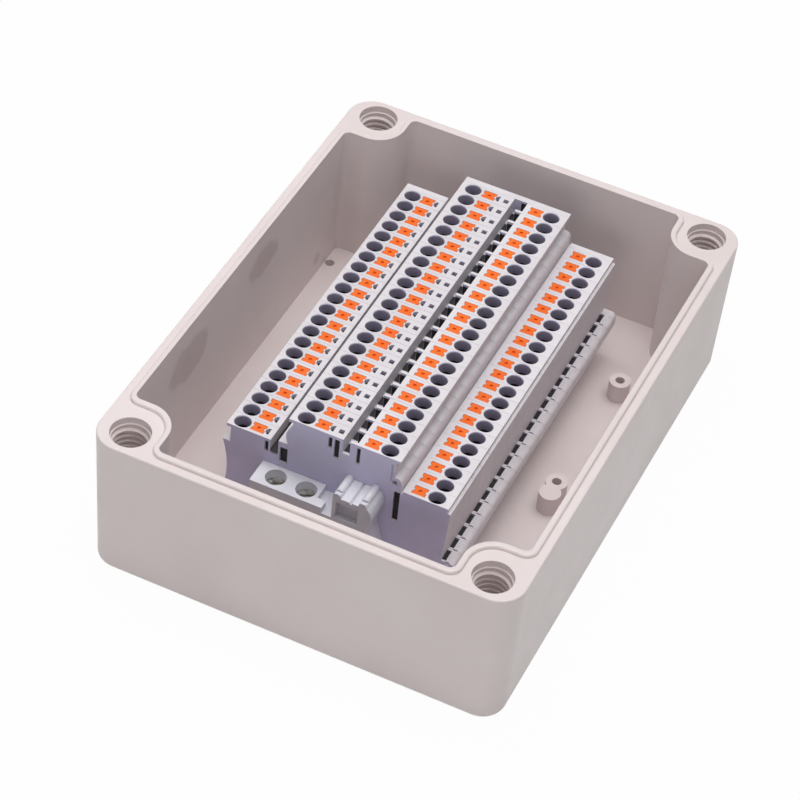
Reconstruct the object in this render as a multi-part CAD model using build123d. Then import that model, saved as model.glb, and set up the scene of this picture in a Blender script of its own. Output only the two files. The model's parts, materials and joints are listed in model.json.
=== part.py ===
"""Open junction box: a moulded base with a rail of double-level push-in terminals.

Millimetres, +Z up. The origin is the centre of the underside of the base, +Y runs
along the long side and the rail, +X along the short side.
"""
from build123d import *
import os
from math import pi, sin, tan, radians

# Base moulding
CASE_WIDTH = 125.0
CASE_LENGTH = 169.0
LAND_HEIGHT = 48.3
DRAFT_ANGLE = 1.2
CORNER_RADIUS = 8.0
BASE_ROUND = 2.5
LAND_ROUND = 0.5
LAND_WIDTH = 2.5
LIP_WIDTH = 1.7
LIP_HEIGHT = 1.1
LIP_ROUND = 0.7
FLOOR = 3.5
PILLAR_SIZE = 15.0
PILLAR_RADIUS = 9.0
POCKET_RADIUS = 2.0

# Cover screw holes in the pillars
SCREW_INSET_X = 9.5
SCREW_INSET_Y = 7.7
MOUTH_RADIUS = 5.75
MOUTH_DEPTH = 2.2
THREAD_RADIUS = 5.3
THREAD_DEPTH = 22.0

# Posts and the drilled hole in the floor
POST_RADIUS = 3.2
POST_HEIGHT = 6.4
POST_PILOT_RADIUS = 1.4
POST_PILOT_DEPTH = 5.4
POST_INSET = 19.5
POST_REAR_Y = 47.6
POST_FRONT_Y = -0.1
POST_PAIR_SPACING = 4.8
FLOOR_HOLE_RADIUS = 1.45
FLOOR_HOLE_INSET = 5.8
FLOOR_HOLE_Y = 57.6

# Rail and its screws
RAIL_OFFSET = -2.7
RAIL_WIDTH = 35.0
RAIL_WEB = 27.0
RAIL_HEIGHT = 7.5
RAIL_SHEET = 1.0
RAIL_END_GAP = 5.0
RAIL_SCREW_INSET = 4.4
RAIL_SCREW_RADIUS = 1.9
RAIL_SCREW_CLEARANCE = 0.2
RAIL_SCREW_HEAD_RADIUS = 3.5
RAIL_SCREW_HEAD_HEIGHT = 2.2
RAIL_SCREW_GRIP = 2.8
TIP_GAP = 0.2
DRIVE_SLOT_WIDTH = 0.8
DRIVE_SLOT_DEPTH = 1.0
FIT = 0.05

# Terminal housings: sizes across the rail from its centre, heights from its seat
TERMINAL_COUNT = 22
PITCH = 5.2
SEAM = 0.05
ROW_SHIFT = 4.6
HALF_SPAN = 33.2
UPPER_HEIGHT = 47.5
LOWER_HEIGHT = 37.0
PLATE = 1.0
FLANK_RECESS = 1.3
LOWER_RECESS_DROP = 6.4
FLANK_WAIST = 0.6
WING_BOTTOM = 8.5
WING_RADIUS = 5.0
LOWER_LEFT_END = -19.9
POCKET_FLOOR = 32.2
POCKET_END = -17.5
LEDGE_HEIGHT = 37.8
TOWER_LEFT = -14.9
TOWER_RIGHT = 18.3
LOWER_RIGHT_START = 19.7
RIDGE_HEIGHT = 41.0
RIDGE_ROUND = 2.2
TOWER_GROOVE = 0.5
SHAFT_LEFT = 1.3
SHAFT_RIGHT = 5.4
SHAFT_SILL = 42.5
SHAFT_DEPTH = 15.0
TOOTH_LENGTH = 2.0
TOOTH_WIDTH = 0.9
FINGER_HEIGHT = 7.0
FINGER_REACH = 1.8
FINGER_WIDTH = 1.2
LEDGE_REACH = 1.0
BAND_GROOVE = 0.4
BAND_REACH = 0.7
BAND_FOOT = 32.9
SILL_HEIGHT = 17.1
LEVER_START = 34.1
LEVER_END = 36.9
LEVER_ROUND = 1.5
LEVER_NOTCH = 0.35
WINDOW_INSIDE = 32.0
WINDOW_FLOOR = 14.1
WINDOW_MARGIN = 0.6

# Foot that grips the rail flanges
FLANGE_GAP = 0.2
HOOK_REACH = 2.0
HOOK_WALL = 2.8
HOOK_DEPTH = 2.0
LATCH_TOP = 5.8
LATCH_BOTTOM = 1.4
LATCH_REACH = 31.2

# Wire sockets, button wells and small openings in the terminal tops
SOCKET_HALF_LENGTH = 2.5
SOCKET_HALF_WIDTH = 2.25
SOCKET_DEPTH = 9.0
BUTTON_LENGTH = 3.9
BUTTON_WIDTH = 3.1
BUTTON_HEIGHT = 8.8
BUTTON_SINK = 0.05
BUTTON_TRAVEL = 1.2
BUTTON_GAP = 0.08
BUTTON_FOOT_LENGTH = 2.4
BUTTON_FOOT_HEIGHT = 2.6
BUTTON_SLOT_LENGTH = 0.9
BUTTON_SLOT_WIDTH = 1.0
BUTTON_SLOT_DEPTH = 0.5
BUTTON_NOTCH_LENGTH = 0.4
BUTTON_NOTCH_WIDTH = 1.0
BUTTON_NOTCH_DEPTH = 1.3
WELL_TOOTH_HEIGHT = 1.0
FUSED_WELL_DEPTH = 2.4
TEST_RADIUS = 1.2
TEST_DEPTH = 4.0
MARKER_SLOT = 1.5
MARKER_SLOT_DEPTH = 2.5
FACE_SLOT = 1.1
FACE_SLOT_DEPTH = 3.2
FACE_GROOVE = 0.7
FACE_GROOVE_DEPTH = 0.5
FACE_GROOVE_INSET = 2.5

# Moving buttons and clamp parts have nodes of their own in the blocks nearest the front
BLOCKS_WITH_BUTTONS = 6
CHAMBER_WALL = 0.95
CHAMBER_HEIGHT = 12.0
CHAMBER_MARGIN = 0.1
BAR_SHEET = 1.0
BAR_DEPTH = 3.0
BAR_FIT = 0.1
CONTACT_HEIGHT = 7.0
SPRING_SHEET = 0.45
SPRING_BEND = 1.6
SPRING_LEG = 6.2
SPRING_CLEARANCE = 0.25

# Cover plate at the far end and brackets at both ends of the row
COVER_THICKNESS = 2.0
BRACKET_WIDTH = 8.5
BRACKET_LEFT = -21.5
BRACKET_PLATE_HEIGHT = 28.5
BRACKET_PLATE_END = -2.4
BRACKET_STEP = 2.0
BRACKET_TAB = 2.6
BRACKET_TAB_WIDTH = 3.0
CARRIER_LEFT = 3.2
CARRIER_RIGHT = 13.2
CARRIER_HEIGHT = 36.0
CARRIER_RIDGE = 1.2
CARRIER_DECK_DROP = 1.4
CARRIER_GROOVE = 0.8
CARRIER_BULGE = 1.6
CARRIER_NECK_HEIGHT = 27.0
CARRIER_WINDOW = 2.0
CARRIER_NOTCH = 0.7
CLAMP_HOLE_FIRST = -15.6
CLAMP_HOLE_SPACING = 9.2
CLAMP_HOLE_RADIUS = 3.0
CLAMP_HOLE_DEPTH = 5.0
CLAMP_SCREW_HEAD_RADIUS = 2.8
CLAMP_SCREW_HEAD_HEIGHT = 2.6
CLAMP_SCREW_RADIUS = 1.5
CLAMP_SCREW_LENGTH = 12.0

BLOCK = PITCH - SEAM
WALL = LAND_WIDTH + LIP_WIDTH
CAVITY_HALF_X = CASE_WIDTH / 2 - WALL
CAVITY_HALF_Y = CASE_LENGTH / 2 - WALL
RAIL_LENGTH = 2 * (CAVITY_HALF_Y - RAIL_END_GAP)
ROW_LENGTH = TERMINAL_COUNT * PITCH + COVER_THICKNESS
ROW_START = ROW_SHIFT - ROW_LENGTH / 2
# Row name: socket centre, button centre, height of the top face
ROWS = {
    "lower_left": (-29.6, -24.7, LOWER_HEIGHT),
    "upper_left": (-10.9, -5.8, UPPER_HEIGHT),
    "upper_right": (13.9, 9.0, UPPER_HEIGHT),
    "lower_right": (28.7, 23.7, LOWER_HEIGHT),
}


def span(low, high):
    """Box between two opposite corners."""
    size = [b - a for a, b in zip(low, high)]
    middle = [(a + b) / 2 for a, b in zip(low, high)]
    return Pos(*middle) * Box(*size)


def upright(outline, depth):
    """Solid of an outline drawn across the rail, centred on the block's middle."""
    return extrude(Plane.XZ * outline, amount=depth / 2, both=True)


def closed_face(curves):
    """Face inside a closed run of lines and arcs."""
    return make_face([edge for curve in curves for edge in curve.edges()])


def cylinder_down(x, y, top, radius, depth):
    """Cylinder that hangs down from a height."""
    return Pos(x, y, top - depth / 2) * Cylinder(radius, depth)


def corner_signs():
    """The four corners as pairs of signs."""
    return [(sx, sy) for sx in (-1, 1) for sy in (-1, 1)]


def cavity_outline(grow=0.0):
    """Plan of the cavity, with the four pillars left standing in its corners."""
    plan = Rectangle(2 * CAVITY_HALF_X, 2 * CAVITY_HALF_Y)
    inner_x = CAVITY_HALF_X - PILLAR_SIZE
    inner_y = CAVITY_HALF_Y - PILLAR_SIZE
    for sx, sy in corner_signs():
        middle = Pos(sx * (CAVITY_HALF_X - PILLAR_SIZE / 2), sy * (CAVITY_HALF_Y - PILLAR_SIZE / 2))
        plan -= middle * Rectangle(PILLAR_SIZE, PILLAR_SIZE)
    noses = [v for v in plan.vertices() if is_nose(v, inner_x, inner_y)]
    plan = fillet(noses, PILLAR_RADIUS)
    pockets = [v for v in plan.vertices() if is_pocket(v, inner_x, inner_y)]
    plan = fillet(pockets, POCKET_RADIUS)
    return offset(plan, grow) if grow else plan


def is_nose(vertex, inner_x, inner_y):
    """True at the corner of a pillar that points into the cavity."""
    return abs(abs(vertex.X) - inner_x) < FIT and abs(abs(vertex.Y) - inner_y) < FIT


def is_pocket(vertex, inner_x, inner_y):
    """True where a pillar meets a wall."""
    at_end_wall = abs(abs(vertex.Y) - CAVITY_HALF_Y) < FIT and abs(abs(vertex.X) - inner_x) < FIT
    at_side_wall = abs(abs(vertex.X) - CAVITY_HALF_X) < FIT and abs(abs(vertex.Y) - inner_y) < FIT
    return at_end_wall or at_side_wall


def enclosure_base():
    """One-piece moulded base with its rim lip, pillars, posts and holes."""
    taper = LAND_HEIGHT * tan(radians(DRAFT_ANGLE))
    foot = RectangleRounded(CASE_WIDTH - 2 * taper, CASE_LENGTH - 2 * taper, CORNER_RADIUS - taper)
    land = Pos(0, 0, LAND_HEIGHT) * RectangleRounded(CASE_WIDTH, CASE_LENGTH, CORNER_RADIUS)
    body = loft([foot, land], ruled=True)
    body = fillet(body.faces().sort_by(Axis.Z)[0].edges(), BASE_ROUND)
    body = fillet(body.faces().sort_by(Axis.Z)[-1].edges(), LAND_ROUND)
    lip = extrude(Pos(0, 0, LAND_HEIGHT) * cavity_outline(LIP_WIDTH), LIP_HEIGHT)
    lip = fillet(lip.faces().sort_by(Axis.Z)[-1].edges(), LIP_ROUND)
    body += lip
    body -= extrude(Pos(0, 0, FLOOR) * cavity_outline(), LAND_HEIGHT + LIP_HEIGHT)
    for hole in screw_holes():
        body -= hole
    for x, y in post_places():
        body += Pos(x, y, FLOOR + POST_HEIGHT / 2) * Cylinder(POST_RADIUS, POST_HEIGHT)
    for x, y in pilot_places():
        body -= cylinder_down(x, y, FLOOR + POST_HEIGHT, POST_PILOT_RADIUS, POST_PILOT_DEPTH)
    hole_x = -CASE_WIDTH / 2 + FLOOR_HOLE_INSET
    body -= cylinder_down(hole_x, FLOOR_HOLE_Y, FLOOR, FLOOR_HOLE_RADIUS, FLOOR)
    for x, y in rail_screw_places():
        body -= cylinder_down(x, y, FLOOR, RAIL_SCREW_RADIUS + FIT, RAIL_SCREW_GRIP + TIP_GAP)
    return body


def screw_holes():
    """Blind holes for the cover screws: a smooth mouth and the threaded length."""
    holes = []
    for sx, sy in corner_signs():
        x = sx * (CASE_WIDTH / 2 - SCREW_INSET_X)
        y = sy * (CASE_LENGTH / 2 - SCREW_INSET_Y)
        holes.append(cylinder_down(x, y, LAND_HEIGHT, MOUTH_RADIUS, MOUTH_DEPTH))
        holes.append(cylinder_down(x, y, LAND_HEIGHT, THREAD_RADIUS, THREAD_DEPTH))
    return holes


def pilot_places():
    """Centres of the drilled posts."""
    x = CASE_WIDTH / 2 - POST_INSET
    return [(sx * x, y) for sx in (-1, 1) for y in (POST_REAR_Y, POST_FRONT_Y)]


def post_places():
    """Centres of all posts: the front drilled ones have a plain one joined on."""
    plain = [(x, y - POST_PAIR_SPACING) for x, y in pilot_places() if y == POST_FRONT_Y]
    return pilot_places() + plain


def rail_screw_places():
    """Centres of the two screws that hold the rail down."""
    y = RAIL_LENGTH / 2 - RAIL_SCREW_INSET
    return [(RAIL_OFFSET, -y), (RAIL_OFFSET, y)]


def din_rail():
    """Top-hat rail folded from sheet, with a hole near each end."""
    half_web = RAIL_WEB / 2
    half = RAIL_WIDTH / 2
    web = span((-half_web, -RAIL_LENGTH / 2, 0), (half_web, RAIL_LENGTH / 2, RAIL_SHEET))
    rail = web
    for side in (-1, 1):
        wall_x = sorted((side * half_web, side * (half_web - RAIL_SHEET)))
        flange_x = sorted((side * half, side * (half_web - RAIL_SHEET)))
        rail += span((wall_x[0], -RAIL_LENGTH / 2, 0), (wall_x[1], RAIL_LENGTH / 2, RAIL_HEIGHT))
        rail += span(
            (flange_x[0], -RAIL_LENGTH / 2, RAIL_HEIGHT - RAIL_SHEET),
            (flange_x[1], RAIL_LENGTH / 2, RAIL_HEIGHT),
        )
    rail = Pos(RAIL_OFFSET, 0, FLOOR) * rail
    for x, y in rail_screw_places():
        radius = RAIL_SCREW_RADIUS + RAIL_SCREW_CLEARANCE
        rail -= cylinder_down(x, y, FLOOR + RAIL_SHEET, radius, RAIL_SHEET)
    return rail


def slotted_screw(head_radius, head_height, shank_radius, shank_length):
    """Screw with a slotted head, seated at height zero under its head."""
    screw = Pos(0, 0, head_height / 2) * Cylinder(head_radius, head_height)
    screw = chamfer(screw.faces().sort_by(Axis.Z)[-1].edges(), head_height / 5)
    screw += cylinder_down(0, 0, 0, shank_radius, shank_length)
    reach = 2 * head_radius
    return screw - span(
        (-reach, -DRIVE_SLOT_WIDTH / 2, head_height - DRIVE_SLOT_DEPTH),
        (reach, DRIVE_SLOT_WIDTH / 2, head_height),
    )


def rail_screws():
    """The two screws through the rail into the floor."""
    screws = []
    for x, y in rail_screw_places():
        screw = slotted_screw(
            RAIL_SCREW_HEAD_RADIUS,
            RAIL_SCREW_HEAD_HEIGHT,
            RAIL_SCREW_RADIUS,
            RAIL_SHEET + RAIL_SCREW_GRIP,
        )
        screws.append(Pos(x, y, FLOOR + RAIL_SHEET) * screw)
    return Compound(children=screws)


def foot_points():
    """Underside points from the right latch to the left hook, over the rail."""
    neck = RAIL_WIDTH / 2 + FLANGE_GAP
    under_flange = RAIL_HEIGHT - RAIL_SHEET - FLANGE_GAP
    barb = RAIL_WIDTH / 2 - HOOK_REACH
    return [
        (barb, LATCH_BOTTOM),
        (barb, under_flange),
        (neck, under_flange),
        (neck, RAIL_HEIGHT),
        (-neck, RAIL_HEIGHT),
        (-neck, under_flange),
        (-barb, under_flange),
        (-barb, under_flange - HOOK_DEPTH),
        (-neck - HOOK_WALL, under_flange - HOOK_DEPTH),
        (-neck - HOOK_WALL, WING_BOTTOM),
    ]


def terminal_outline():
    """Outline of a terminal housing across the rail."""
    ledge = LOWER_HEIGHT - LOWER_RECESS_DROP
    latch_neck = RAIL_WIDTH / 2 + FLANGE_GAP + HOOK_WALL
    latch_round = (LATCH_TOP - LATCH_BOTTOM) / 2
    wing_side = WING_BOTTOM + WING_RADIUS
    waist = (wing_side + ledge) / 2
    shoulder = WING_RADIUS * (1 - sin(pi / 4))
    top = Polyline(
        (-HALF_SPAN - LEDGE_REACH, ledge),
        (-HALF_SPAN + FLANK_RECESS, ledge),
        (-HALF_SPAN + FLANK_RECESS, LOWER_HEIGHT - PLATE),
        (-HALF_SPAN, LOWER_HEIGHT - PLATE),
        (-HALF_SPAN, LOWER_HEIGHT),
        (LOWER_LEFT_END, LOWER_HEIGHT),
        (LOWER_LEFT_END, POCKET_FLOOR),
        (POCKET_END, POCKET_FLOOR),
        (POCKET_END, LEDGE_HEIGHT),
        (TOWER_LEFT + FLANK_RECESS, LEDGE_HEIGHT),
        (TOWER_LEFT + FLANK_RECESS, UPPER_HEIGHT - PLATE),
        (TOWER_LEFT, UPPER_HEIGHT - PLATE),
        (TOWER_LEFT, UPPER_HEIGHT),
        (TOWER_RIGHT, UPPER_HEIGHT),
        (TOWER_RIGHT, UPPER_HEIGHT - PLATE),
        (TOWER_RIGHT - FLANK_RECESS, UPPER_HEIGHT - PLATE),
        (TOWER_RIGHT - FLANK_RECESS, RIDGE_HEIGHT),
    )
    groove_start = LOWER_RIGHT_START - TOWER_GROOVE
    ridge_middle = (groove_start - TOWER_GROOVE, RIDGE_HEIGHT - TOWER_GROOVE)
    ridge = ThreePointArc(top @ 1, ridge_middle, (groove_start, RIDGE_HEIGHT - RIDGE_ROUND))
    right = Polyline(
        ridge @ 1,
        (groove_start, LOWER_HEIGHT - PLATE),
        (LOWER_RIGHT_START, LOWER_HEIGHT - PLATE),
        (LOWER_RIGHT_START, LOWER_HEIGHT),
        (HALF_SPAN, LOWER_HEIGHT),
        (HALF_SPAN, LOWER_HEIGHT - PLATE),
        (HALF_SPAN - BAND_GROOVE, LOWER_HEIGHT - PLATE),
        (HALF_SPAN - BAND_GROOVE, LOWER_HEIGHT - PLATE - BAND_GROOVE),
        (HALF_SPAN + BAND_REACH, LOWER_HEIGHT - PLATE - 2 * BAND_GROOVE),
        (BAND_FOOT, SILL_HEIGHT),
        (LEVER_END - LEVER_ROUND, SILL_HEIGHT),
    )
    lever_shoulder = LEVER_ROUND * (1 - sin(pi / 4))
    lever = ThreePointArc(
        right @ 1,
        (LEVER_END - lever_shoulder, SILL_HEIGHT - lever_shoulder),
        (LEVER_END, SILL_HEIGHT - LEVER_ROUND),
    )
    lever_side = Line(lever @ 1, (LEVER_END, wing_side))
    right_wing = ThreePointArc(
        lever_side @ 1,
        (LEVER_END - shoulder, WING_BOTTOM + shoulder),
        (LEVER_END - WING_RADIUS, WING_BOTTOM),
    )
    neck = Polyline(
        right_wing @ 1,
        (latch_neck, WING_BOTTOM),
        (latch_neck, LATCH_TOP),
        (LATCH_REACH - latch_round, LATCH_TOP),
    )
    latch_end = ThreePointArc(
        neck @ 1,
        (LATCH_REACH, LATCH_TOP - latch_round),
        (LATCH_REACH - latch_round, LATCH_BOTTOM),
    )
    foot = Polyline(latch_end @ 1, *foot_points(), (-HALF_SPAN + WING_RADIUS, WING_BOTTOM))
    left_wing = ThreePointArc(
        foot @ 1,
        (-HALF_SPAN + shoulder, WING_BOTTOM + shoulder),
        (-HALF_SPAN, wing_side),
    )
    flank = ThreePointArc(left_wing @ 1, (-HALF_SPAN + FLANK_WAIST, waist), top @ 0)
    right_side = [ridge, right, lever, lever_side, right_wing]
    return closed_face([top, *right_side, neck, latch_end, foot, left_wing, flank])


def bridge_shaft():
    """Cuts of the shaft for a plug-in bridge, with the tooth left at the near side."""
    near = -BLOCK / 2
    tooth_start = SHAFT_RIGHT - TOOTH_LENGTH
    top = UPPER_HEIGHT + PLATE
    wide = span((SHAFT_LEFT, -BLOCK, SHAFT_SILL), (tooth_start, BLOCK, top))
    beside_tooth = span((tooth_start, near + TOOTH_WIDTH, SHAFT_SILL), (SHAFT_RIGHT, BLOCK, top))
    deep = span(
        (SHAFT_LEFT, near + TOOTH_WIDTH, SHAFT_SILL - SHAFT_DEPTH),
        (SHAFT_RIGHT, -near - TOOTH_WIDTH, top),
    )
    return [wide, beside_tooth, deep]


def lever_cuts():
    """Window between the right side wall and its foot lever, and the lever's small notch."""
    near = -BLOCK / 2
    half = BLOCK / 2 - WINDOW_MARGIN
    notch_floor = SILL_HEIGHT - PLATE
    notch_end = LEVER_END - LEVER_ROUND
    return [
        span((WINDOW_INSIDE, -half, WINDOW_FLOOR), (LEVER_START, half, SILL_HEIGHT)),
        span((LEVER_START, near, notch_floor), (notch_end, near + LEVER_NOTCH, SILL_HEIGHT)),
    ]


def pocket_finger():
    """Curved finger at the near side of the pocket beside the tower."""
    root = TOWER_LEFT + FLANK_RECESS
    top = (root, LEDGE_HEIGHT + FINGER_HEIGHT)
    belly = (root - FINGER_REACH, LEDGE_HEIGHT + FINGER_HEIGHT / 2)
    foot = (root - FINGER_REACH / 2, LEDGE_HEIGHT)
    outline = closed_face([ThreePointArc(top, belly, foot), Polyline(foot, (root, LEDGE_HEIGHT), top)])
    return Pos(0, (FINGER_WIDTH - BLOCK) / 2, 0) * upright(outline, FINGER_WIDTH)


def inward(socket, button):
    """Direction from a socket to its button."""
    return 1 if button > socket else -1


def small_openings():
    """Half-round test openings beside the left buttons, and the marker slot."""
    cuts = []
    for name in ("lower_left", "upper_left"):
        button = ROWS[name][1]
        top = ROWS[name][2]
        flat = button + BUTTON_LENGTH / 2 + BUTTON_GAP + SEAM + TEST_RADIUS
        round_hole = cylinder_down(flat, 0, top, TEST_RADIUS, TEST_DEPTH)
        beyond = span((flat, -BLOCK, top - 2 * TEST_DEPTH), (flat + 2 * TEST_RADIUS, BLOCK, top))
        cuts.append(round_hole - beyond)
    slot_end = SHAFT_LEFT - PLATE
    cuts.append(
        span(
            (slot_end - MARKER_SLOT, -MARKER_SLOT / 2, UPPER_HEIGHT - MARKER_SLOT_DEPTH),
            (slot_end, MARKER_SLOT / 2, UPPER_HEIGHT + PLATE),
        )
    )
    return cuts


def near_face_recesses():
    """Slots and a groove moulded into the wall that faces the front of the box."""
    near = -BLOCK / 2
    half = FACE_SLOT / 2
    lower = LOWER_HEIGHT - PLATE
    upper = UPPER_HEIGHT - PLATE
    marker_end = SHAFT_LEFT - PLATE
    groove = TOWER_RIGHT - FACE_GROOVE_INSET
    groove_end = groove + FACE_GROOVE
    bend = RIDGE_HEIGHT - 2 * PLATE
    slots = (
        (LOWER_LEFT_END - 3 * half, LOWER_LEFT_END - half, POCKET_FLOOR, lower),
        (POCKET_END + half, TOWER_LEFT + half / 2, POCKET_FLOOR - 2 * PLATE, LEDGE_HEIGHT - 2 * PLATE),
        (marker_end - 3 * FACE_SLOT, marker_end - 2 * FACE_SLOT, SHAFT_SILL, upper),
        (marker_end - MARKER_SLOT, marker_end, SHAFT_SILL - 3 * PLATE, upper),
        (SHAFT_RIGHT, SHAFT_RIGHT + FACE_SLOT, SHAFT_SILL - 2 * PLATE, upper),
        (TOWER_RIGHT - FACE_SLOT, TOWER_RIGHT + FACE_GROOVE, LOWER_HEIGHT - 12 * PLATE, lower),
        (groove_end, groove_end + 2 * FACE_GROOVE, bend - FACE_GROOVE, bend + FACE_GROOVE),
    )
    cuts = [span((x0, near - PLATE, z0), (x1, near + FACE_SLOT_DEPTH, z1)) for x0, x1, z0, z1 in slots]
    cuts.append(span((groove, near - PLATE, bend), (groove_end, near + FACE_GROOVE_DEPTH, upper - PLATE)))
    return cuts


def socket(centre, top, depth):
    """Blind wire socket, a little longer than wide."""
    hole = SlotOverall(2 * SOCKET_HALF_LENGTH, 2 * SOCKET_HALF_WIDTH)
    return extrude(Pos(centre, 0, top) * hole, -depth)


def well(centre, top, depth):
    """Guide for a button, with a tooth left at each end for the button's notches."""
    half_length = BUTTON_LENGTH / 2 + BUTTON_GAP
    half_width = BUTTON_WIDTH / 2 + BUTTON_GAP
    guide = span(
        (centre - half_length, -half_width, top - depth),
        (centre + half_length, half_width, top + PLATE),
    )
    reach = BUTTON_NOTCH_LENGTH - BUTTON_GAP
    for side in (-1, 1):
        tooth = Box(2 * reach, BUTTON_NOTCH_WIDTH - 2 * BUTTON_GAP, 2 * WELL_TOOTH_HEIGHT)
        guide -= Pos(centre + side * BUTTON_LENGTH / 2, 0, top) * tooth
    return guide


def plain_housing():
    """Housing with its sockets and small openings, but no room for buttons yet."""
    body = upright(terminal_outline(), BLOCK)
    body += pocket_finger()
    for cut in bridge_shaft() + small_openings() + near_face_recesses() + lever_cuts():
        body -= cut
    for centre, _, top in ROWS.values():
        body -= socket(centre, top, SOCKET_DEPTH)
    return body


def fused_housing(base):
    """Housing whose four buttons are one with it."""
    body = base
    for _, centre, top in ROWS.values():
        body -= well(centre, top, FUSED_WELL_DEPTH)
        body += Pos(centre, 0, top) * push_button(FUSED_WELL_DEPTH, with_foot=False)
    return body


def guided_housing(base):
    """Housing with open guides for four moving buttons."""
    depth = BUTTON_SINK + BUTTON_HEIGHT + BUTTON_TRAVEL + BUTTON_GAP
    body = base
    for _, centre, top in ROWS.values():
        body -= well(centre, top, depth)
    return body


def chamber_span(name):
    """Ends and heights of the clamp chamber under a row's socket and button."""
    socket_x, button_x, top = ROWS[name]
    direction = inward(socket_x, button_x)
    outer = socket_x - direction * (SOCKET_HALF_LENGTH + CHAMBER_MARGIN)
    inner = button_x + direction * (BUTTON_LENGTH / 2 + CHAMBER_MARGIN)
    roof = top - SOCKET_DEPTH
    return outer, inner, roof, direction


def clamp_housing(base):
    """Housing opened from its far side for the clamp springs and current bars."""
    body = guided_housing(base)
    near = -BLOCK / 2 + CHAMBER_WALL
    for name in ROWS:
        outer, inner, roof, _ = chamber_span(name)
        left, right = sorted((outer, inner))
        body -= span((left, near, roof - CHAMBER_HEIGHT), (right, BLOCK, roof))
    for names in (("lower_left", "lower_right"), ("upper_left", "upper_right")):
        left = chamber_span(names[0])[0]
        right = chamber_span(names[1])[0]
        seat = chamber_span(names[0])[2] - CHAMBER_HEIGHT
        body -= span((left, near, seat), (right, BLOCK, seat + BAR_SHEET + 2 * BAR_FIT))
    return body


def current_bar(left_row, right_row):
    """Conductor that joins two clamps, with a contact plate up at each end."""
    left, _, roof, _ = chamber_span(left_row)
    right = chamber_span(right_row)[0]
    seat = roof - CHAMBER_HEIGHT + BAR_FIT
    left += BAR_FIT
    right -= BAR_FIT
    near = -BLOCK / 2 + CHAMBER_WALL + BAR_FIT
    bar = span((left, near, seat), (right, near + BAR_DEPTH, seat + BAR_SHEET))
    for start in (left, right - BAR_SHEET):
        plate = span((start, near, seat), (start + BAR_SHEET, near + BAR_DEPTH, seat + CONTACT_HEIGHT))
        bar += plate
    return bar


def clamp_spring(name):
    """Folded leaf that presses a wire on its contact plate."""
    outer, inner, roof, direction = chamber_span(name)
    back = inner - direction * SPRING_CLEARANCE
    crown = roof - SPRING_CLEARANCE - BUTTON_TRAVEL
    bend_centre = back - direction * SPRING_BEND
    tip_x = outer + direction * (BAR_FIT + BAR_SHEET + SPRING_CLEARANCE)
    start = (back, crown - SPRING_BEND - SPRING_LEG)
    shoulder = (back, crown - SPRING_BEND)
    over = (bend_centre, crown)
    front = (bend_centre - direction * SPRING_BEND, crown - SPRING_BEND)
    tip = (tip_x, crown - SPRING_BEND - SPRING_LEG / 2)
    leg = Line(start, shoulder)
    bend = ThreePointArc(shoulder, over, front)
    blade = Line(front, tip)
    middle_line = Wire([leg.edge(), bend.edge(), blade.edge()])
    near = -BLOCK / 2 + CHAMBER_WALL + BAR_FIT
    return leaf(middle_line, near)


def leaf(middle_line, near):
    """Strip of spring sheet that follows a line across the rail."""
    outline = trace(middle_line, SPRING_SHEET)
    solid = extrude(Plane.XZ * outline, amount=-BAR_DEPTH)
    return Pos(0, near, 0) * solid


def push_button(height=BUTTON_HEIGHT, with_foot=True):
    """Release button with its top just under the housing top at height zero."""
    top = -BUTTON_SINK
    half_length = BUTTON_LENGTH / 2
    half_width = BUTTON_WIDTH / 2
    foot_top = -BUTTON_SINK - height
    if with_foot:
        foot_top += BUTTON_FOOT_HEIGHT
    body = span((-half_length, -half_width, foot_top), (half_length, half_width, top))
    body = chamfer(body.faces().sort_by(Axis.Z)[-1].edges(), BUTTON_SINK)
    for side in (-1, 1):
        notch = Box(2 * BUTTON_NOTCH_LENGTH, BUTTON_NOTCH_WIDTH, 2 * BUTTON_NOTCH_DEPTH)
        body -= Pos(side * half_length, 0, top) * notch
    body -= Pos(0, 0, top) * Box(BUTTON_SLOT_LENGTH, BUTTON_SLOT_WIDTH, 2 * BUTTON_SLOT_DEPTH)
    if with_foot:
        body += span(
            (-BUTTON_FOOT_LENGTH / 2, -half_width, -BUTTON_SINK - height),
            (BUTTON_FOOT_LENGTH / 2, half_width, foot_top),
        )
    return body


def end_cover():
    """Plate that closes the open side of the last terminal."""
    return upright(terminal_outline(), COVER_THICKNESS)


def carrier_top():
    """Top line of the marker carrier: a round ridge, a grooved deck and a round rib."""
    deck = CARRIER_HEIGHT - CARRIER_DECK_DROP
    ridge_end = CARRIER_LEFT + 2 * CARRIER_RIDGE
    rib_start = CARRIER_RIGHT - 2 * CARRIER_RIDGE
    groove = (ridge_end + rib_start) / 2
    ridge = ThreePointArc(
        (CARRIER_LEFT, CARRIER_HEIGHT - CARRIER_RIDGE),
        (CARRIER_LEFT + CARRIER_RIDGE, CARRIER_HEIGHT),
        (ridge_end, CARRIER_HEIGHT - CARRIER_RIDGE),
    )
    deck_line = Polyline(
        (ridge_end, CARRIER_HEIGHT - CARRIER_RIDGE),
        (ridge_end, deck),
        (groove, deck),
        (groove + CARRIER_GROOVE / 2, deck - CARRIER_GROOVE),
        (groove + CARRIER_GROOVE, deck),
        (rib_start, deck),
        (rib_start, CARRIER_HEIGHT - CARRIER_RIDGE),
    )
    rib = ThreePointArc(
        (rib_start, CARRIER_HEIGHT - CARRIER_RIDGE),
        (CARRIER_RIGHT - CARRIER_RIDGE, CARRIER_HEIGHT),
        (CARRIER_RIGHT, CARRIER_HEIGHT - CARRIER_RIDGE),
    )
    return [ridge, deck_line, rib]


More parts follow.
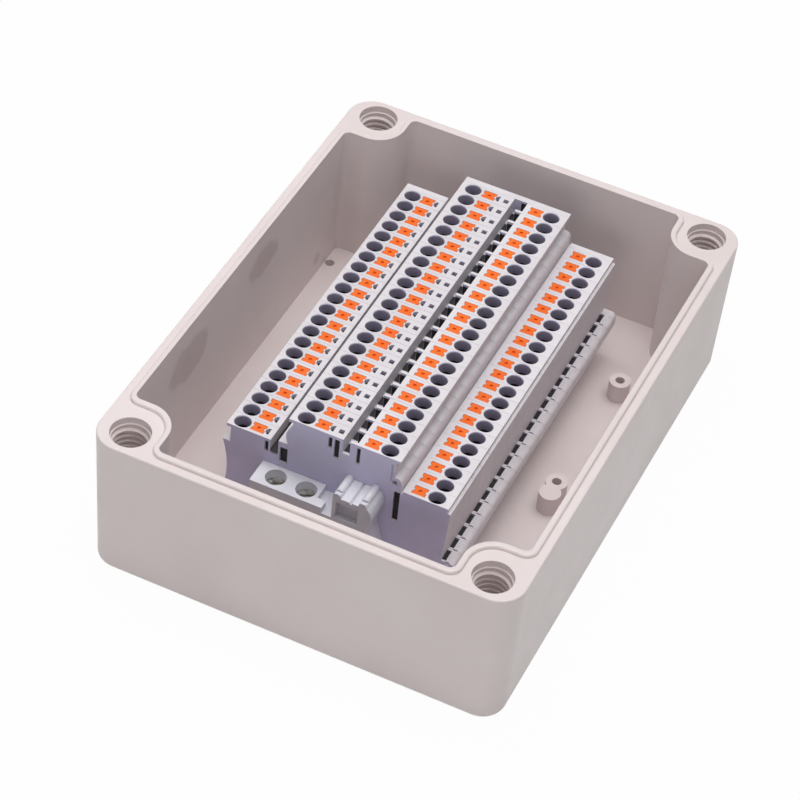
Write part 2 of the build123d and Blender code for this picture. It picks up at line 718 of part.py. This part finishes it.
def bracket_outline():
    """Outline of an end bracket across the rail."""
    step = BRACKET_PLATE_HEIGHT - BRACKET_STEP
    latch_neck = RAIL_WIDTH / 2 + FLANGE_GAP + HOOK_WALL
    top = carrier_top()
    left = Polyline(
        (BRACKET_LEFT, WING_BOTTOM),
        (BRACKET_LEFT, BRACKET_PLATE_HEIGHT),
        (BRACKET_PLATE_END, BRACKET_PLATE_HEIGHT),
        (BRACKET_PLATE_END, step),
        (CARRIER_LEFT, step),
        (CARRIER_LEFT, CARRIER_HEIGHT - CARRIER_RIDGE),
    )
    flank_middle = (CARRIER_RIGHT + CARRIER_BULGE, (CARRIER_HEIGHT + CARRIER_NECK_HEIGHT) / 2)
    neck_point = (CARRIER_RIGHT, CARRIER_NECK_HEIGHT)
    flank = ThreePointArc(top[-1] @ 1, flank_middle, neck_point)
    skirt = ThreePointArc(
        neck_point,
        (CARRIER_RIGHT + CARRIER_BULGE, CARRIER_NECK_HEIGHT - WING_BOTTOM),
        (latch_neck, WING_BOTTOM),
    )
    foot = Polyline(
        (latch_neck, WING_BOTTOM),
        (latch_neck, LATCH_BOTTOM),
        *foot_points(),
        (BRACKET_LEFT, WING_BOTTOM),
    )
    return closed_face([left, *top, flank, skirt, foot])


def end_bracket():
    """Clip-on bracket that stops the row from sliding, with a marker carrier."""
    near = -BRACKET_WIDTH / 2
    body = upright(bracket_outline(), BRACKET_WIDTH)
    step = BRACKET_PLATE_HEIGHT - BRACKET_STEP
    body += span(
        (BRACKET_PLATE_END - PLATE, near, step),
        (BRACKET_PLATE_END + BRACKET_TAB, near + BRACKET_TAB_WIDTH, BRACKET_PLATE_HEIGHT),
    )
    window_top = CARRIER_HEIGHT - CARRIER_DECK_DROP - CARRIER_GROOVE - PLATE
    body -= span(
        (CARRIER_LEFT + PLATE, near - PLATE, CARRIER_NECK_HEIGHT),
        (CARRIER_RIGHT - 2 * CARRIER_RIDGE, near + CARRIER_WINDOW, window_top),
    )
    body -= span(
        (CARRIER_LEFT - PLATE, near + PLATE, CARRIER_HEIGHT - CARRIER_NOTCH),
        (CARRIER_RIGHT + PLATE, near + PLATE + CARRIER_NOTCH, CARRIER_HEIGHT + PLATE),
    )
    for x in clamp_hole_centres():
        body -= cylinder_down(x, 0, BRACKET_PLATE_HEIGHT, CLAMP_HOLE_RADIUS, CLAMP_HOLE_DEPTH)
        depth = CLAMP_HOLE_DEPTH + CLAMP_SCREW_LENGTH + TIP_GAP
        body -= cylinder_down(x, 0, BRACKET_PLATE_HEIGHT, CLAMP_SCREW_RADIUS + FIT, depth)
    return body


def clamp_hole_centres():
    """Places of the two clamp screws across the rail."""
    return [CLAMP_HOLE_FIRST, CLAMP_HOLE_FIRST + CLAMP_HOLE_SPACING]


def on_rail(shape, y):
    """Place a piece, drawn from the seat of the rail, along the rail."""
    return Pos(RAIL_OFFSET, y, FLOOR) * shape


def bracket_places():
    """Middles of the brackets, in front of the row and behind it."""
    offset_y = BRACKET_WIDTH / 2 + SEAM
    return {
        "near": ROW_START - offset_y,
        "far": ROW_START + ROW_LENGTH + offset_y,
    }


def bracket_screws():
    """The clamp screws of both brackets."""
    seat = BRACKET_PLATE_HEIGHT - CLAMP_HOLE_DEPTH
    screws = []
    for y in bracket_places().values():
        for x in clamp_hole_centres():
            screw = slotted_screw(
                CLAMP_SCREW_HEAD_RADIUS,
                CLAMP_SCREW_HEAD_HEIGHT,
                CLAMP_SCREW_RADIUS,
                CLAMP_SCREW_LENGTH,
            )
            screws.append(on_rail(Pos(x, 0, seat) * Rot(0, 0, 30) * screw, y))
    return Compound(children=screws)


def block_place(number):
    """Middle of a terminal along the rail, counted from the front."""
    return ROW_START + (number - 0.5) * PITCH


def terminals():
    """Every terminal housing by name."""
    base = plain_housing()
    guided = guided_housing(base)
    fused = fused_housing(base)
    nodes = {"terminal_01": on_rail(clamp_housing(base), block_place(1))}
    for number in range(2, TERMINAL_COUNT + 1):
        body = guided if number <= BLOCKS_WITH_BUTTONS else fused
        nodes[f"terminal_{number:02d}"] = on_rail(body, block_place(number))
    return nodes


def moving_buttons():
    """The separate release buttons by name."""
    nodes = {}
    for number in range(1, BLOCKS_WITH_BUTTONS + 1):
        for name, (_, centre, top) in ROWS.items():
            button = Pos(centre, 0, top) * push_button()
            nodes[f"button_{number:02d}_{name}"] = on_rail(button, block_place(number))
    return nodes


def clamp_parts():
    """Springs and current bars of the first terminal by name."""
    place = block_place(1)
    nodes = {
        "current_bar_lower": on_rail(current_bar("lower_left", "lower_right"), place),
        "current_bar_upper": on_rail(current_bar("upper_left", "upper_right"), place),
    }
    for name in ROWS:
        nodes[f"clamp_spring_{name}"] = on_rail(clamp_spring(name), place)
    return nodes


def all_nodes():
    """Every piece by its node name."""
    places = bracket_places()
    nodes = {
        "enclosure_base": enclosure_base(),
        "din_rail": din_rail(),
        "rail_screws": rail_screws(),
        "end_bracket_near": on_rail(end_bracket(), places["near"]),
        "end_bracket_far": on_rail(end_bracket(), places["far"]),
        "bracket_screws": bracket_screws(),
        "end_cover": on_rail(end_cover(), ROW_START + ROW_LENGTH - COVER_THICKNESS / 2),
    }
    nodes.update(terminals())
    nodes.update(clamp_parts())
    nodes.update(moving_buttons())
    return nodes


os.makedirs("parts", exist_ok=True)
for node, shape in all_nodes().items():
    export_step(shape, f"parts/{node}.step")
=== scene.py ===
import json
from math import cos, pi, radians, sin

import bmesh
import bpy
from mathutils import Matrix, Vector

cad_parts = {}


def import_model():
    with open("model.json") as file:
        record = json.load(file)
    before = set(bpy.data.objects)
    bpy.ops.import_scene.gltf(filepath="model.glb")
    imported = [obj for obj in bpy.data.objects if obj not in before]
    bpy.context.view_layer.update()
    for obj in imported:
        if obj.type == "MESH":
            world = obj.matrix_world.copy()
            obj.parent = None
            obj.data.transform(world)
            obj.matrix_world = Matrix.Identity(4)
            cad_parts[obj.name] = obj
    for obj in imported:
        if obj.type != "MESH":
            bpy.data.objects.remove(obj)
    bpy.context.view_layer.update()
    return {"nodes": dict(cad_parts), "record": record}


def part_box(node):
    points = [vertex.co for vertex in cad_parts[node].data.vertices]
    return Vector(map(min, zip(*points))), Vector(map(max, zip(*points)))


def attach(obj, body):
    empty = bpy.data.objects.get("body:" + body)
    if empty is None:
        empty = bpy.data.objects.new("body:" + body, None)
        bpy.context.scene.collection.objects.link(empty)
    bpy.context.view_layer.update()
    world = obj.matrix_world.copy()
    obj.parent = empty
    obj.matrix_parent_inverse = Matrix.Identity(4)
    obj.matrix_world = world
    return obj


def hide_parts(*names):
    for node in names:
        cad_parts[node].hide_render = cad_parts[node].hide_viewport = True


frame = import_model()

MM = 0.001
BASE_BODY = "box"
WHITE = (1, 1, 1, 1)

# Camera: where it stands, where it looks and how far it is rolled
CAMERA_PLACE = Vector((216.9, -590.2, 626.1)) * MM
CAMERA_FORWARD = Vector((-0.2554, 0.6732, -0.6939))
CAMERA_ROLL = radians(6.36)
CAMERA_LENS = 138.0
SENSOR_WIDTH = 36.0
CLIP_START = 0.01
CLIP_END = 10.0

# Lights: name, place, size, power
LIGHTS = (
    ("top_light", (0.15, 0.1, 1.2), 1.0, 10.5),
    ("left_light", (-0.22, 0.02, 0.6), 0.3, 0.8),
    ("front_light", (0.1, -1.2, 0.25), 0.8, 3.5),
)
LIGHT_TARGET = Vector((0, 0, 0.03))
SKY_COLOR = (0.97, 0.98, 1.0, 1)
SKY_STRENGTH = 0.21

# Floor: half its side, its colour, and how far it fades to white for the camera
FLOOR_HALF = 3.0
FLOOR_COLOR = (0.7, 0.7, 0.7, 1)
FLOOR_ROUGHNESS = 0.9
FLOOR_GLOW = 0.97

# Values between which a noise goes from its low to its high end, and how rough it is
NOISE_LOW = 0.3
NOISE_HIGH = 0.7
NOISE_ROUGHNESS = 0.55

# Plastics: darker and lighter clouds as display values, roughness, scale of the grain and of the clouds
PLASTICS = {
    "enclosure": ((219, 207, 205), (227, 216, 215), 0.42, 1800.0, 25.0),
    "terminal_grey": ((212, 207, 211), (226, 221, 225), 0.5, 2500.0, 60.0),
    "bracket_grey": ((208, 207, 214), (222, 221, 228), 0.5, 2500.0, 60.0),
    "funnel_slate": ((130, 124, 142), (142, 135, 154), 0.45, 2500.0, 200.0),
    # painted shade: near-black stand-in for the shade deep in the funnels and openings
    "painted_shade_grey": ((24, 22, 28), (32, 29, 36), 0.6, 2500.0, 200.0),
    "button_orange": ((236, 99, 2), (242, 111, 8), 0.55, 2500.0, 200.0),
}
GLOSS_PATCHES = 6
GLOSS_SPREAD = 0.05
GRAIN_DETAIL = 2.0
GRAIN_STRENGTH = 0.12
GRAIN_HEIGHT = 0.04 * MM

# Metals: darker and lighter lines as display values, roughness, and scale of the lines along each axis
METALS = {
    "rail_zinc": ((170, 170, 165), (205, 205, 200), 0.35, (4000.0, 60.0, 4000.0)),
    "screw_zinc": ((150, 148, 140), (205, 203, 196), 0.3, (900.0, 900.0, 900.0)),
    "copper": ((180, 110, 70), (215, 140, 95), 0.3, (300.0, 3000.0, 3000.0)),
    "spring_strip": ((140, 140, 140), (190, 190, 190), 0.28, (300.0, 3000.0, 3000.0)),
}
LINE_DETAIL = 5.0
LINE_POLISH = 0.06
LINE_DULLING = 0.08
LINE_STRENGTH = 0.15
LINE_HEIGHT = 0.03 * MM

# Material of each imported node, by the start of its name
NODE_MATERIALS = {
    "enclosure_base": "enclosure",
    "terminal_": "terminal_grey",
    "end_cover": "terminal_grey",
    "end_bracket": "bracket_grey",
    "button_": "button_orange",
    "din_rail": "rail_zinc",
    "rail_screws": "screw_zinc",
    "bracket_screws": "screw_zinc",
    "current_bar": "copper",
    "clamp_spring": "spring_strip",
}

# Painted shade on the terminals' faces, sides a little darker than the tops and near faces bluer: axis of
# the normal, where the tint starts, where it is full, and its colour
FACE_SHADE_TINTS = (
    ("Z", 0.95, 0.45, (0.92, 0.91, 0.92)),
    ("Y", -0.5, -0.9, (0.92, 0.94, 1.20)),
)

# Soft darker patches on the inner left wall: middle along the wall and up it, half length and half height
WALL_X = -58.3 * MM
WALL_REACH = 1.0 * MM
WALL_MARKS = (
    (0.0125, 0.0385, 0.0095, 0.0050),
    (-0.0325, 0.0365, 0.0120, 0.0062),
    (0.0508, 0.0098, 0.0022, 0.0022),
)
MARK_TINT = (0.84, 0.80, 0.80)
MARK_NOISE = 160.0
MARK_NOISE_DETAIL = 3.0
MARK_RAGGED = 0.35
MARK_FULL = 0.75
MARK_EDGE = 1.15

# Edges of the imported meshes
WELD_REACH = 0.002 * MM
EDGE_WIDTH = 0.12 * MM
EDGE_ANGLE = radians(40)
SMOOTH_ANGLE = radians(35)

# Threads in the cover screw holes: half foot and half crest as shares of the pitch; the ends run out over a
# part of a turn, down to a least share of the height
THREAD_PITCH = 1.9 * MM
THREAD_HEIGHT = 0.62 * MM
THREAD_LENGTH = 15.0 * MM
THREAD_HALF_FOOT = 0.46
THREAD_HALF_CREST = 0.16
THREAD_ROOT = 0.02 * MM
THREAD_STEPS = 48
THREAD_END_STEPS = 16
THREAD_LEAST = 0.02

# Wire sockets: place beside the button, half sizes, and the funnel's rings as share of the socket and depth
SOCKET_OFFSETS = {
    "lower_left": -4.9 * MM,
    "upper_left": -5.1 * MM,
    "upper_right": 4.9 * MM,
    "lower_right": 5.0 * MM,
}
SOCKET_HALF_LENGTH = 2.5 * MM
SOCKET_HALF_WIDTH = 2.25 * MM
BUTTON_SINK = 0.05 * MM
FUNNEL_RINGS = (
    (0.985, 8.6 * MM),
    (0.985, 0.35 * MM),
    (0.95, 0.35 * MM),
    (0.72, 2.9 * MM),
    (0.60, 7.5 * MM),
)
FUNNEL_SIDES = 32

# Dark plates of painted shade down in the openings, in millimetres: row of the button, place beside it and
# half length, then place along the rail and depth under the top at the plate's two ends
PAINTED_SHADE_PLATES = (
    # test openings and marker slot
    ("lower_left", 2.66, 0.55, (-0.8, 1.3), (0.8, 1.3)),
    ("upper_left", 2.66, 0.55, (-0.8, 1.3), (0.8, 1.3)),
    ("upper_left", 5.35, 0.73, (-0.73, 1.2), (0.73, 1.2)),
    # bridge shaft, its floor and its far side
    ("upper_left", 9.15, 2.0, (-1.6, 5.1), (1.6, 5.1)),
    ("upper_left", 10.2, 0.9, (2.5, 4.9), (2.5, 0.7)),
    # window at the foot lever, and gap beside the tower
    ("lower_right", 9.35, 1.03, (-1.95, 20.5), (1.95, 20.5)),
    ("lower_left", 6.0, 1.15, (-2.5, 3.6), (2.55, 3.6)),
    # slots of the near face
    ("lower_left", 3.7, 0.53, (-1.9, 4.75), (-1.9, 1.05)),
    ("lower_left", 9.05, 1.25, (-1.9, 6.75), (-1.9, 1.25)),
    ("upper_left", 3.35, 0.53, (-1.9, 4.95), (-1.9, 1.05)),
    ("upper_left", 5.35, 0.73, (-1.9, 7.95), (-1.9, 1.05)),
    ("upper_right", -3.05, 0.53, (-1.9, 6.95), (-1.9, 1.05)),
    ("lower_right", -5.6, 0.88, (-1.9, 11.95), (-1.9, 1.05)),
)

# Terminals, the last one whose buttons move, and the one whose mesh stands for those packed as one solid
TERMINALS = sorted(name for name in frame["nodes"] if name.startswith("terminal_"))
LAST_MOVING = max(int(name.split("_")[1]) for name in frame["nodes"] if name.startswith("button_"))
MODEL_TERMINAL = 2
PITCH = (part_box("terminal_03")[0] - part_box("terminal_02")[0])[1]


def mount(name):
    """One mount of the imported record."""
    return next(m for m in frame["record"]["mounts"] if m["name"] == name)


def new_material(name):
    """Node material with its principled shader, and its node tree."""
    material = bpy.data.materials.new(name)
    material.use_nodes = True
    return material, material.node_tree, material.node_tree.nodes["Principled BSDF"]


def add_node(tree, kind, **values):
    """Node with its input sockets set by name."""
    node = tree.nodes.new(kind)
    for key, value in values.items():
        node.inputs[key].default_value = value
    return node


def noise(tree, scale, detail=4.0):
    """Noise over the object's own coordinates."""
    place = tree.nodes.new("ShaderNodeTexCoord")
    node = add_node(tree, "ShaderNodeTexNoise", Scale=scale, Detail=detail, Roughness=NOISE_ROUGHNESS)
    tree.links.new(place.outputs["Object"], node.inputs["Vector"])
    return node.outputs["Fac"]


def srgb(color):
    """Linear colour of 0 to 255 display values."""
    return tuple(to_linear(value / 255) for value in color)


def to_linear(value):
    """Linear value of one display value."""
    return value / 12.92 if value <= 0.04045 else ((value + 0.055) / 1.055) ** 2.4


def color_by_noise(tree, shader, factor, dark, light):
    """Colour of a shader that goes from dark to light with a noise."""
    node = tree.nodes.new("ShaderNodeValToRGB")
    elements = node.color_ramp.elements
    for element, position, color in zip(elements, (NOISE_LOW, NOISE_HIGH), (dark, light)):
        element.position = position
        element.color = (*srgb(color), 1.0)
    tree.links.new(factor, node.inputs["Fac"])
    tree.links.new(node.outputs["Color"], shader.inputs["Base Color"])


def map_range(tree, value, from_min, from_max, to_min, to_max):
    """Value stretched from one range to another."""
    node = tree.nodes.new("ShaderNodeMapRange")
    node.inputs["From Min"].default_value = from_min
    node.inputs["From Max"].default_value = from_max
    node.inputs["To Min"].default_value = to_min
    node.inputs["To Max"].default_value = to_max
    tree.links.new(value, node.inputs["Value"])
    return node.outputs["Result"]


def roughness_by_noise(tree, shader, factor, low, high):
    """Roughness of a shader that goes from low to high with a noise."""
    result = map_range(tree, factor, NOISE_LOW, NOISE_HIGH, low, high)
    tree.links.new(result, shader.inputs["Roughness"])


def calculate(tree, operation, first, second):
    """Math of two values, each a socket or a number."""
    node = tree.nodes.new("ShaderNodeMath")
    node.operation = operation
    for target, value in zip(node.inputs, (first, second)):
        if isinstance(value, (int, float)):
            target.default_value = value
        else:
            tree.links.new(value, target)
    return node.outputs[0]


def bump(tree, shader, height, strength, distance):
    """Fine relief on a shader."""
    node = add_node(tree, "ShaderNodeBump", Strength=strength, Distance=distance)
    tree.links.new(height, node.inputs["Height"])
    tree.links.new(node.outputs["Normal"], shader.inputs["Normal"])


def tint_color(tree, share, tint):
    """Multiply the shader's colour by a tint, by a share that varies over the surface."""
    target = tree.nodes["Principled BSDF"].inputs["Base Color"]
    node = tree.nodes.new("ShaderNodeMix")
    node.data_type = "RGBA"
    node.blend_type = "MULTIPLY"
    color, tinted = (socket for socket in node.inputs if socket.type == "RGBA")
    tinted.default_value = (*tint, 1.0)
    tree.links.new(share, node.inputs["Factor"])
    tree.links.new(target.links[0].from_socket, color)
    tree.links.new(next(socket for socket in node.outputs if socket.type == "RGBA"), target)


def moulded_plastic(name, dark, light, roughness, grain, clouds):
    """Moulded plastic: cloudy colour, uneven gloss and fine surface grain."""
    material, tree, shader = new_material(name)
    color_by_noise(tree, shader, noise(tree, clouds), dark, light)
    patches = noise(tree, clouds * GLOSS_PATCHES)
    roughness_by_noise(tree, shader, patches, roughness - GLOSS_SPREAD, roughness + GLOSS_SPREAD)
    bump(tree, shader, noise(tree, grain, GRAIN_DETAIL), GRAIN_STRENGTH, GRAIN_HEIGHT)
    return material


def metal(name, dark, light, roughness, stretch):
    """Bright metal with fine lines."""
    material, tree, shader = new_material(name)
    place = tree.nodes.new("ShaderNodeTexCoord")
    scaled = add_node(tree, "ShaderNodeMapping", Scale=stretch)
    lines = add_node(tree, "ShaderNodeTexNoise", Scale=1.0, Detail=LINE_DETAIL)
    tree.links.new(place.outputs["Object"], scaled.inputs["Vector"])
    tree.links.new(scaled.outputs["Vector"], lines.inputs["Vector"])
    factor = lines.outputs["Fac"]
    color_by_noise(tree, shader, factor, dark, light)
    roughness_by_noise(tree, shader, factor, roughness - LINE_POLISH, roughness + LINE_DULLING)
    shader.inputs["Metallic"].default_value = 1.0
    bump(tree, shader, factor, LINE_STRENGTH, LINE_HEIGHT)
    return material


def paint_shade_by_facing(material, axis, start, full, tint):
    """Painted shade: tint the faces of a material whose normal lies past a value on an axis."""
    tree = material.node_tree
    geometry = tree.nodes.new("ShaderNodeNewGeometry")
    split = tree.nodes.new("ShaderNodeSeparateXYZ")
    tree.links.new(geometry.outputs["Normal"], split.inputs[0])
    tint_color(tree, map_range(tree, split.outputs[axis], start, full, 0.0, 1.0), tint)


def mark_wall(material):
    """Soft darker marks on the inner left wall."""
    tree = material.node_tree
    place = tree.nodes.new("ShaderNodeTexCoord")
    split = tree.nodes.new("ShaderNodeSeparateXYZ")
    tree.links.new(place.outputs["Object"], split.inputs[0])
    off_wall = calculate(tree, "ABSOLUTE", calculate(tree, "SUBTRACT", split.outputs["X"], WALL_X), 0.0)
    on_wall = calculate(tree, "LESS_THAN", off_wall, WALL_REACH)
    waves = noise(tree, MARK_NOISE, MARK_NOISE_DETAIL)
    ragged = map_range(tree, waves, NOISE_LOW, NOISE_HIGH, -MARK_RAGGED, MARK_RAGGED)
    total = 0.0
    for along, up, half_length, half_height in WALL_MARKS:
        y = calculate(tree, "DIVIDE", calculate(tree, "SUBTRACT", split.outputs["Y"], along), half_length)
        z = calculate(tree, "DIVIDE", calculate(tree, "SUBTRACT", split.outputs["Z"], up), half_height)
        square = calculate(tree, "ADD", calculate(tree, "MULTIPLY", y, y), calculate(tree, "MULTIPLY", z, z))
        edge = map_range(tree, calculate(tree, "ADD", square, ragged), MARK_FULL, MARK_EDGE, 1.0, 0.0)
        total = calculate(tree, "MAXIMUM", total, edge)
    tint_color(tree, calculate(tree, "MULTIPLY", total, on_wall), MARK_TINT)


def paint_node(name, material):
    """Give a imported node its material."""
    piece = frame["nodes"][name]
    for slot in piece.material_slots:
        slot.material = material
    if not piece.material_slots:
        piece.data.materials.append(material)


def soften(piece):
    """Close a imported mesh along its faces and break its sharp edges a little."""
    weld = piece.modifiers.new("weld", "WELD")
    weld.merge_threshold = WELD_REACH
    bevel = piece.modifiers.new("bevel", "BEVEL")
    bevel.width = EDGE_WIDTH
    bevel.segments = 1
    bevel.limit_method = "ANGLE"
    bevel.angle_limit = EDGE_ANGLE
    bevel.harden_normals = True


def in_scene(name, data):
    """Object of finished data, linked to the scene."""
    piece = bpy.data.objects.new(name, data)
    bpy.context.scene.collection.objects.link(piece)
    return piece


def make_piece(name, data, place):
    """Object of a finished mesh that rides on the base."""
    piece = in_scene(name, data)
    piece.location = place
    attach(piece, BASE_BODY)
    return piece


def mesh_of(build, name, material):
    """Finished mesh of a bmesh, with its material."""
    data = bpy.data.meshes.new(name)
    build.to_mesh(data)
    build.free()
    data.materials.append(material)
    data.shade_smooth()
    data.set_sharp_from_angle(angle=SMOOTH_ANGLE)
    return data


def join_rings(build, rings):
    """Quads between each ring of vertices and the next; returns those of the last pair."""
    for first, second in zip(rings, rings[1:]):
        band = []
        for k in range(len(first)):
            after = (k + 1) % len(first)
            band.append(build.faces.new((first[k], first[after], second[after], second[k])))
    return band


def thread_mesh(radius, material):
    """Helical ridge that stands inward from a bore, with its start at the height zero."""
    build = bmesh.new()
    steps = int(THREAD_LENGTH / THREAD_PITCH * THREAD_STEPS)
    half = THREAD_HALF_FOOT * THREAD_PITCH
    crest = THREAD_HALF_CREST * THREAD_PITCH
    root = radius + THREAD_ROOT
    rings = []
    for step in range(steps + 1):
        angle = -2 * pi * step / THREAD_STEPS
        z = -half - THREAD_PITCH * step / THREAD_STEPS
        fade = min(1.0, step / THREAD_END_STEPS, (steps - step) / THREAD_END_STEPS)
        inner = radius - THREAD_HEIGHT * max(fade, THREAD_LEAST)
        profile = ((root, half), (inner, crest), (inner, -crest), (root, -half))
        rings.append([build.verts.new((r * cos(angle), r * sin(angle), z + dz)) for r, dz in profile])
    join_rings(build, rings)
    build.faces.new(rings[0])
    build.faces.new(list(reversed(rings[-1])))
    bmesh.ops.recalc_face_normals(build, faces=build.faces)
    return mesh_of(build, "thread", material)


def cover_screw_threads(material):
    """Threads in the four corner holes."""
    holes = mount("cover_screws")
    centre = Vector(holes["pos_m"])
    half_x = holes["dims"]["spacing_x_mm"] * MM / 2
    half_y = holes["dims"]["spacing_y_mm"] * MM / 2
    data = thread_mesh(holes["dims"]["hole_r_mm"] * MM, material)
    corners = [(sx, sy) for sx in (-1, 1) for sy in (-1, 1)]
    for number, (sx, sy) in enumerate(corners, start=1):
        place = centre + Vector((sx * half_x, sy * half_y, 0))
        make_piece(f"cover_screw_thread_{number}", data, place)


def beside_button(row, offset):
    """Place across the rail beside one of the model terminal's buttons, and the height of the top there."""
    low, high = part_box(f"button_{MODEL_TERMINAL:02d}_{row}")
    return (low[0] + high[0]) / 2 + offset, high[2] + BUTTON_SINK


def socket_ring(build, middle, top, share, depth):
    """Ring of vertices a little inside a wire socket, at a depth."""
    straight = SOCKET_HALF_LENGTH - SOCKET_HALF_WIDTH
    ring = []
    for k in range(FUNNEL_SIDES):
        angle = 2 * pi * (k + 0.5) / FUNNEL_SIDES
        shift = straight if cos(angle) > 0 else -straight
        x = middle + share * (SOCKET_HALF_WIDTH * cos(angle) + shift)
        ring.append(build.verts.new((x, share * SOCKET_HALF_WIDTH * sin(angle), top - depth)))
    return ring


def funnel_mesh(material, painted_shade_material):
    """The four wire funnels of one terminal, with painted shade on their deepest band and bottom, around the
    middle of the terminal.
    """
    build = bmesh.new()
    for row, offset in SOCKET_OFFSETS.items():
        middle, top = beside_button(row, offset)
        rings = [socket_ring(build, middle, top, share, depth) for share, depth in FUNNEL_RINGS]
        deep = join_rings(build, rings)
        build.faces.new(rings[0])
        deep.append(build.faces.new(rings[-1]))
        # painted shade on the deepest band and the bottom
        for face in deep:
            face.material_index = 1
    bmesh.ops.recalc_face_normals(build, faces=build.faces)
    data = mesh_of(build, "wire_funnels", material)
    data.materials.append(painted_shade_material)
    return data


def painted_shade_plate_mesh(material):
    """Dark plates of painted shade down in the openings of one terminal, around the middle of the terminal.
    """
    build = bmesh.new()
    for row, offset, half_length, (first_y, first_depth), (last_y, last_depth) in PAINTED_SHADE_PLATES:
        middle, top = beside_button(row, offset * MM)
        left = middle - half_length * MM
        right = middle + half_length * MM
        corners = (
            (left, first_y * MM, top - first_depth * MM),
            (right, first_y * MM, top - first_depth * MM),
            (right, last_y * MM, top - last_depth * MM),
            (left, last_y * MM, top - last_depth * MM),
        )
        build.faces.new([build.verts.new(corner) for corner in corners])
    return mesh_of(build, "painted_shade_plates", material)


def in_every_terminal(data):
    """Copies of a mesh, made around the middle of a terminal, in all terminals."""
    low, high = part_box(f"button_{MODEL_TERMINAL:02d}_lower_left")
    middle = (low[1] + high[1]) / 2
    for number in range(1, len(TERMINALS) + 1):
        place = (0, middle + (number - MODEL_TERMINAL) * PITCH, 0)
        make_piece(f"{data.name}_{number:02d}", data, place)


def separate_buttons():
    """Open housings, with buttons of their own, for the terminals that are packed as one solid."""
    housing = frame["nodes"][f"terminal_{MODEL_TERMINAL:02d}"]
    pieces = []
    for number in range(LAST_MOVING + 1, len(TERMINALS) + 1):
        place = (0, (number - MODEL_TERMINAL) * PITCH, 0)
        piece = make_piece(f"housing_{number:02d}", housing.data, place)
        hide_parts(f"terminal_{number:02d}")
        pieces.append(piece)
        for row in SOCKET_OFFSETS:
            button = frame["nodes"][f"button_{MODEL_TERMINAL:02d}_{row}"]
            make_piece(f"fixed_button_{number:02d}_{row}", button.data, place)
    return pieces


def camera():
    """Camera at the photograph's place, with its roll."""
    data = bpy.data.cameras.new("camera")
    data.lens = CAMERA_LENS
    data.sensor_width = SENSOR_WIDTH
    data.clip_start = CLIP_START
    data.clip_end = CLIP_END
    piece = in_scene("camera", data)
    turn = CAMERA_FORWARD.to_track_quat("-Z", "Y").to_matrix() @ Matrix.Rotation(CAMERA_ROLL, 3, "Z")
    piece.matrix_world = Matrix.Translation(CAMERA_PLACE) @ turn.to_4x4()
    bpy.context.scene.camera = piece


def area_light(name, place, size, power):
    """Soft square light that points at the object."""
    data = bpy.data.lights.new(name, "AREA")
    data.size = size
    data.energy = power
    piece = in_scene(name, data)
    piece.location = place
    piece.rotation_mode = "QUATERNION"
    piece.rotation_quaternion = (LIGHT_TARGET - Vector(place)).to_track_quat("-Z", "Y")


def studio_rays(tree):
    """One where a camera, glossy or transmission ray asks, else zero."""
    path = tree.nodes.new("ShaderNodeLightPath")
    total = path.outputs["Is Camera Ray"]
    for name in ("Is Glossy Ray", "Is Transmission Ray"):
        total = calculate(tree, "MAXIMUM", total, path.outputs[name])
    return total


def mix_shaders(tree, share, first, second, target):
    """Two shaders mixed by a share, led to a surface."""
    mix = tree.nodes.new("ShaderNodeMixShader")
    tree.links.new(share, mix.inputs["Fac"])
    tree.links.new(first.outputs[0], mix.inputs[1])
    tree.links.new(second.outputs[0], mix.inputs[2])
    tree.links.new(mix.outputs[0], target.inputs["Surface"])


def world():
    """White to the camera, soft grey light to the object."""
    studio = bpy.data.worlds.new("studio")
    studio.use_nodes = True
    tree = studio.node_tree
    tree.nodes.clear()
    light = add_node(tree, "ShaderNodeBackground", Color=SKY_COLOR, Strength=SKY_STRENGTH)
    seen = add_node(tree, "ShaderNodeBackground", Color=WHITE, Strength=1.0)
    mix_shaders(tree, studio_rays(tree), light, seen, tree.nodes.new("ShaderNodeOutputWorld"))
    bpy.context.scene.world = studio


def floor():
    """Pale floor that keeps a soft shadow and fades to white for the camera."""
    build = bmesh.new()
    bmesh.ops.create_grid(build, x_segments=1, y_segments=1, size=FLOOR_HALF)
    material, tree, shader = new_material("floor")
    shader.inputs["Base Color"].default_value = FLOOR_COLOR
    shader.inputs["Roughness"].default_value = FLOOR_ROUGHNESS
    shader.inputs["Specular IOR Level"].default_value = 0.0
    glow = add_node(tree, "ShaderNodeEmission", Color=WHITE, Strength=1.0)
    share = calculate(tree, "MULTIPLY", studio_rays(tree), FLOOR_GLOW)
    mix_shaders(tree, share, shader, glow, tree.nodes["Material Output"])
    in_scene("floor", mesh_of(build, "floor", material))


materials = {name: moulded_plastic(name, *values) for name, values in PLASTICS.items()}
materials.update((name, metal(name, *values)) for name, values in METALS.items())
mark_wall(materials["enclosure"])
for face_shade in FACE_SHADE_TINTS:
    paint_shade_by_facing(materials["terminal_grey"], *face_shade)
for node in frame["nodes"]:
    start = next(start for start in NODE_MATERIALS if node.startswith(start))
    paint_node(node, materials[NODE_MATERIALS[start]])

soft_edged = separate_buttons()
soft_edged += [frame["nodes"][name] for name in TERMINALS[:LAST_MOVING]]
soft_edged += [frame["nodes"][name] for name in ("end_cover", "end_bracket_near", "end_bracket_far")]
for piece in soft_edged:
    soften(piece)
in_every_terminal(funnel_mesh(materials["funnel_slate"], materials["painted_shade_grey"]))
in_every_terminal(painted_shade_plate_mesh(materials["painted_shade_grey"]))
cover_screw_threads(materials["enclosure"])
camera()
world()
for light in LIGHTS:
    area_light(*light)
floor()
bpy.context.scene.view_settings.view_transform = "Standard"
